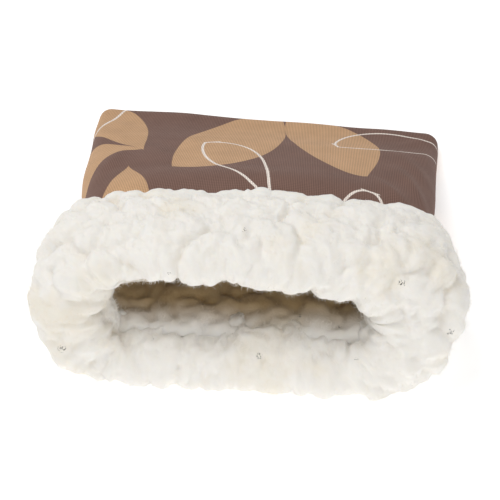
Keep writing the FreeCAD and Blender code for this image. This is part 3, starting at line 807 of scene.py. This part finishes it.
def printed_material():
    material, tree = new_material("printed_knit")
    group = leaf_distance_group()
    split = add_node(tree, "ShaderNodeSeparateXYZ")
    tree.links.new(add_node(tree, "ShaderNodeUVMap", uv_map="cloth").outputs[0], split.inputs[0])
    along = split.outputs["Y"]
    # the lower cloth is cut from the same print, further along
    is_lower = math_node(tree, "LESS_THAN", split.outputs["X"], UNDER_EDGE)
    across = math_node(tree, "ADD", split.outputs["X"], math_node(tree, "MULTIPLY", is_lower, UNDER_SHIFT))
    # a print on a knit is never quite even at its edges
    ragged = add_node(tree, "ShaderNodeTexNoise", inputs={"Scale": 900.0, "Detail": 1.0})
    tree.links.new(add_node(tree, "ShaderNodeUVMap", uv_map="cloth").outputs[0], ragged.inputs["Vector"])
    rough = math_node(tree, "MULTIPLY", math_node(tree, "SUBTRACT", ragged.outputs["Fac"], 0.5), 0.5 * MM)

    def distance(stem, tip, left, right):
        stem, tip = Vector(stem) * MM, Vector(tip) * MM
        direction = (tip - stem).normalized()
        values = {"Stem U": stem.x, "Stem V": stem.y, "Direction U": direction.x, "Direction V": direction.y,
                  "Length": (tip - stem).length, "Left Width": left[0] * MM, "Left Shoulder": left[1],
                  "Left Point": left[2], "Right Width": right[0] * MM, "Right Shoulder": right[1],
                  "Right Point": right[2]}
        node = add_node(tree, "ShaderNodeGroup", node_tree=group, inputs=values)
        tree.links.new(across, node.inputs["U"])
        tree.links.new(along, node.inputs["V"])
        return node.outputs["Distance"]

    def nearest(distances):
        found = distances[0]
        for value in distances[1:]:
            found = math_node(tree, "MINIMUM", found, value)
        return found

    leaves = nearest([distance(*leaf) for leaf in TAN_LEAVES])
    filled = map_range(tree, math_node(tree, "ADD", leaves, rough), 0.2 * MM, -0.2 * MM)
    lines = nearest([math_node(tree, "ABSOLUTE", distance(*leaf)) for leaf in OUTLINED_LEAVES])
    drawn = map_range(tree, math_node(tree, "ADD", lines, rough), LINE_WIDTH / 2 + 0.15 * MM,
                      LINE_WIDTH / 2 - 0.15 * MM)

    # the knit: wales along the pouch and courses across it
    wale = math_node(tree, "SINE", math_node(tree, "MULTIPLY", split.outputs["X"], 2 * math.pi / WALE))
    course = math_node(tree, "SINE", math_node(tree, "MULTIPLY", along, 2 * math.pi / COURSE))
    stitch = math_node(tree, "MULTIPLY_ADD", wale, 0.35, math_node(tree, "MULTIPLY_ADD", course, 0.15, 0.5))
    uneven = add_node(tree, "ShaderNodeTexNoise", inputs={"Scale": 60.0, "Detail": 3.0})
    tree.links.new(add_node(tree, "ShaderNodeTexCoord").outputs["Object"], uneven.inputs["Vector"])
    colour = mix_colours(tree, filled, CLOTH_BROWN, LEAF_TAN)
    colour = mix_colours(tree, drawn, colour, LINE_PALE)
    # painted light and shade of the knit's relief: the colour is darkened in the grooves and lightened on the
    # ribs, on top of the bump; the blotches are the cloth's own uneven tone
    rib_shade = map_range(tree, stitch, 0.0, 1.0, 0.58, 1.32, smooth=False)
    blotches = math_node(tree, "MULTIPLY", math_node(tree, "SUBTRACT", uneven.outputs["Fac"], 0.5), 0.25)
    rib_shade_and_blotches = math_node(tree, "ADD", rib_shade, blotches)
    grey = add_node(tree, "ShaderNodeCombineColor")
    for socket in grey.inputs:
        tree.links.new(rib_shade_and_blotches, socket)
    colour = mix_colours(tree, 1.0, colour, grey.outputs[0], "MULTIPLY")
    bump = add_node(tree, "ShaderNodeBump", inputs={"Strength": 0.6, "Distance": 0.0003})
    tree.links.new(stitch, bump.inputs["Height"])
    shader = add_node(tree, "ShaderNodeBsdfPrincipled",
                      inputs={"Roughness": 0.9, "Specular IOR Level": 0.2, "Sheen Weight": 0.08,
                              "Sheen Roughness": 0.4})
    shader.inputs["Sheen Tint"].default_value = (0.9, 0.8, 0.75, 1)
    tree.links.new(colour, shader.inputs["Base Color"])
    tree.links.new(bump.outputs[0], shader.inputs["Normal"])
    finish_material(tree, shader)
    return material


shell.data.materials.append(printed_material())
print("print of", len(TAN_LEAVES), "tan and", len(OUTLINED_LEAVES), "outlined leaves")

# %% [markdown]
# ## Fibres
# Loose fibres stand off every puff and give the pile its soft edge. Each is a narrow curled ribbon of a few
# faces, and Geometry Nodes scatters them over the pile. A particle system could grow them too, but the
# nodes leave a plain mesh that stays where it was grown.

# %% Fibre shapes
def make_fibre(name, length, curl, twist, width):
    """A ribbon that starts upright, curls over and comes to a fine tip."""
    steps = 3
    points = []
    place, pitch, turn = np.zeros(3), 0.25, 0.0
    for step in range(steps + 1):
        half = width * (1 - step / steps) / 2 + 0.02 * MM
        side = np.array([math.cos(turn), math.sin(turn), 0]) * half
        points += [place - side, place + side]
        ahead = np.array([-math.sin(turn) * math.sin(pitch), math.cos(turn) * math.sin(pitch),
                          math.cos(pitch)])
        place = place + ahead * length / steps
        pitch += curl / steps
        turn += twist / steps
    faces = [(2 * step, 2 * step + 1, 2 * step + 3, 2 * step + 2) for step in range(steps)]
    made = mesh_object(name, np.array(points), faces)
    made.hide_render = made.hide_viewport = True
    return made


FIBRE_WIDTH = 0.28 * MM
FIBRE_CURVES = ((5.0, 2.4, 0.8), (4.0, 3.0, -1.2), (6.0, 2.0, 1.6), (4.5, 2.7, -0.5))
FIBRE_SHAPES = [make_fibre("fibre_" + str(number), length * MM, curl, twist, FIBRE_WIDTH)
                for number, (length, curl, twist) in enumerate(FIBRE_CURVES)]
fibre_shapes = bpy.data.collections.new("fibre_shapes")
for shape in FIBRE_SHAPES:
    bpy.context.collection.objects.unlink(shape)
    fibre_shapes.objects.link(shape)
print(len(FIBRE_SHAPES), "fibre shapes")


# %% [markdown]
# ## Growing the fibres
# The node tree throws points over the open pile, stands a fibre on each and leans it its own way.

# %% Growing the fibres
def fibre_tree():
    """Geometry Nodes: scatter the shapes over the pile's open side, each leaning its own way."""
    tree = bpy.data.node_groups.new("grow_fibres", "GeometryNodeTree")
    for name, kind in (("Pile", "Geometry"), ("Shapes", "Collection"), ("Density", "Float"), ("Seed", "Int"),
                       ("Smallest", "Float"), ("Largest", "Float"), ("Material", "Material")):
        tree.interface.new_socket(name, in_out="INPUT", socket_type="NodeSocket" + kind)
    tree.interface.new_socket("Geometry", in_out="OUTPUT", socket_type="NodeSocketGeometry")
    entry = tree.nodes.new("NodeGroupInput").outputs
    leave = tree.nodes.new("NodeGroupOutput")

    def link(output, socket):
        tree.links.new(output, socket)

    hidden = tree.nodes.new("GeometryNodeInputNamedAttribute")
    hidden.data_type = "FLOAT"
    hidden.inputs["Name"].default_value = "hidden"
    is_open = tree.nodes.new("FunctionNodeCompare")
    is_open.data_type, is_open.operation = "FLOAT", "LESS_THAN"
    is_open.inputs["B"].default_value = 0.5
    link(hidden.outputs["Attribute"], is_open.inputs["A"])
    scatter = tree.nodes.new("GeometryNodeDistributePointsOnFaces")
    link(entry["Pile"], scatter.inputs["Mesh"])
    link(is_open.outputs["Result"], scatter.inputs["Selection"])
    link(entry["Density"], scatter.inputs["Density"])
    link(entry["Seed"], scatter.inputs["Seed"])
    shapes = tree.nodes.new("GeometryNodeCollectionInfo")
    shapes.inputs["Separate Children"].default_value = True
    shapes.inputs["Reset Children"].default_value = True
    link(entry["Shapes"], shapes.inputs["Collection"])
    lean = tree.nodes.new("FunctionNodeRandomValue")
    lean.data_type = "FLOAT_VECTOR"
    lean.inputs["Min"].default_value = (-0.7, -0.7, 0.0)
    lean.inputs["Max"].default_value = (0.7, 0.7, 2 * math.pi)
    link(entry["Seed"], lean.inputs["Seed"])
    turned = tree.nodes.new("FunctionNodeRotateRotation")
    turned.rotation_space = "LOCAL"
    link(scatter.outputs["Rotation"], turned.inputs["Rotation"])
    link(lean.outputs["Value"], turned.inputs["Rotate By"])
    size = tree.nodes.new("FunctionNodeRandomValue")
    size.data_type = "FLOAT"
    for socket, name in (("Min", "Smallest"), ("Max", "Largest"), ("Seed", "Seed")):
        target = [item for item in size.inputs if item.name == socket and item.enabled][0]
        link(entry[name], target)
    place = tree.nodes.new("GeometryNodeInstanceOnPoints")
    place.inputs["Pick Instance"].default_value = True
    link(scatter.outputs["Points"], place.inputs["Points"])
    link(shapes.outputs["Instances"], place.inputs["Instance"])
    link(turned.outputs["Rotation"], place.inputs["Rotation"])
    link([item for item in size.outputs if item.enabled][0], place.inputs["Scale"])
    real = tree.nodes.new("GeometryNodeRealizeInstances")
    link(place.outputs["Instances"], real.inputs["Geometry"])
    coat = tree.nodes.new("GeometryNodeSetMaterial")
    link(real.outputs["Geometry"], coat.inputs["Geometry"])
    link(entry["Material"], coat.inputs["Material"])
    link(coat.outputs["Geometry"], leave.inputs["Geometry"])
    return tree


def run_nodes(name, source, tree, settings):
    """A new plain mesh: what the node tree makes of a source mesh with the given settings."""
    work = source.copy()
    bpy.context.collection.objects.link(work)
    modifier = work.modifiers.new(name, "NODES")
    modifier.node_group = tree
    sockets = {item.name: item.identifier for item in tree.interface.items_tree if item.item_type == "SOCKET"}
    for key, value in settings.items():
        modifier[sockets[key]] = value
    work.update_tag()
    mesh = plain_mesh(work)
    mesh.name = name
    bpy.data.objects.remove(work)
    made = bpy.data.objects.new(name, mesh)
    bpy.context.collection.objects.link(made)
    return made


def fibre_material(name, painted_shade=None):
    material, tree = new_material(name)
    place = add_node(tree, "ShaderNodeTexCoord").outputs["Object"]
    broad = add_node(tree, "ShaderNodeTexNoise", inputs={"Scale": 26.0, "Detail": 3.0})
    tree.links.new(place, broad.inputs["Vector"])
    colour = mix_colours(tree, map_range(tree, broad.outputs["Fac"], 0.5, 0.8), PILE_WHITE, PILE_CREAM)
    # painted shade: deep in the pouch the fibres' colour is darkened to olive
    if painted_shade:
        colour = deepened(tree, place, colour, painted_shade)
    shader = add_node(tree, "ShaderNodeBsdfPrincipled",
                      inputs={"Roughness": 0.9, "Specular IOR Level": 0.15, "Sheen Weight": 0.2})
    tree.links.new(colour, shader.inputs["Base Color"])
    finish_material(tree, shader)
    return material


def lift_to_table(made):
    """Fibres under the cuff lie flat on the table."""
    places = np.empty(len(made.data.vertices) * 3, dtype=np.float32)
    made.data.vertices.foreach_get("co", places)
    places[2::3] = np.maximum(places[2::3], TABLE_GAP)
    made.data.vertices.foreach_set("co", places)
    made.data.update()


grow_fibres = fibre_tree()
FIBRE_SIZES = {"Shapes": fibre_shapes, "Seed": SEED, "Smallest": 0.45, "Largest": 0.95}
cuff_fibres = run_nodes("cuff_fibres", cuff, grow_fibres,
                        {**FIBRE_SIZES, "Density": 200000.0, "Material": fibre_material("loose_fibre")})
lift_to_table(cuff_fibres)
# the lining's fibres carry the same painted shade deep in the pouch
lining_fibres = run_nodes("lining_fibres", lining, grow_fibres,
                          {**FIBRE_SIZES, "Density": 150000.0,
                           "Material": fibre_material("inside_fibre", PAINTED_INSIDE_SHADE)})
print("fibres on the cuff", len(cuff_fibres.data.polygons) // 3, "in the lining",
      len(lining_fibres.data.polygons) // 3)

# %% [markdown]
# ## Sewing thread
# The seams that still show as solids are twisted thread. They could be modelled stitch by stitch, but they
# lie between the cloths, so a dark thread with a fine twist in its surface is enough.

# %% Sewing thread
THREADS = ("shell_side_seam_left", "shell_side_seam_right", "lining_side_seam_left",
           "lining_side_seam_right", "lining_end_seam")
THREAD_DARK = (0.14, 0.09, 0.075, 1)


def sewing_thread():
    material, tree = new_material("sewing_thread")
    twist = add_node(tree, "ShaderNodeTexWave", inputs={"Scale": 900.0})
    tree.links.new(add_node(tree, "ShaderNodeTexCoord").outputs["Object"], twist.inputs["Vector"])
    ply = add_node(tree, "ShaderNodeBump", inputs={"Strength": 0.5, "Distance": 0.0002})
    tree.links.new(twist.outputs["Fac"], ply.inputs["Height"])
    shader = add_node(tree, "ShaderNodeBsdfPrincipled", inputs={"Base Color": THREAD_DARK, "Roughness": 0.6})
    tree.links.new(ply.outputs[0], shader.inputs["Normal"])
    finish_material(tree, shader)
    return material


thread_material = sewing_thread()
for name in THREADS:
    thread = bpy.data.objects[name]
    thread.data.materials.clear()
    thread.data.materials.append(thread_material)
print("thread on", len(THREADS), "seams")

# %% [markdown]
# ## Hiding the CAD parts
# The muff opens at the closed end's hinge. The CAD's panels, bands and hems that the pieces made here stand
# in for are hidden, and each piece has its place baked into its mesh.

# %% Hide and bake
pieces = {cuff: "sherpa_pile", lining: "sherpa_pile", shell: "printed_knit",
          cuff_fibres: "sherpa_pile", lining_fibres: "sherpa_pile"}

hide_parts("cuff_upper_band", "cuff_lower_band", "cuff_backing_upper", "cuff_backing_lower",
            "cuff_upper_hem_seam", "cuff_lower_hem_seam")
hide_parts("lining_upper_panel", "lining_lower_panel")
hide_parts("shell_upper_panel", "shell_lower_panel", "shell_end_seam")
for piece, slot in pieces.items():
    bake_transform(piece)
print("riding", [piece.name for piece in pieces])
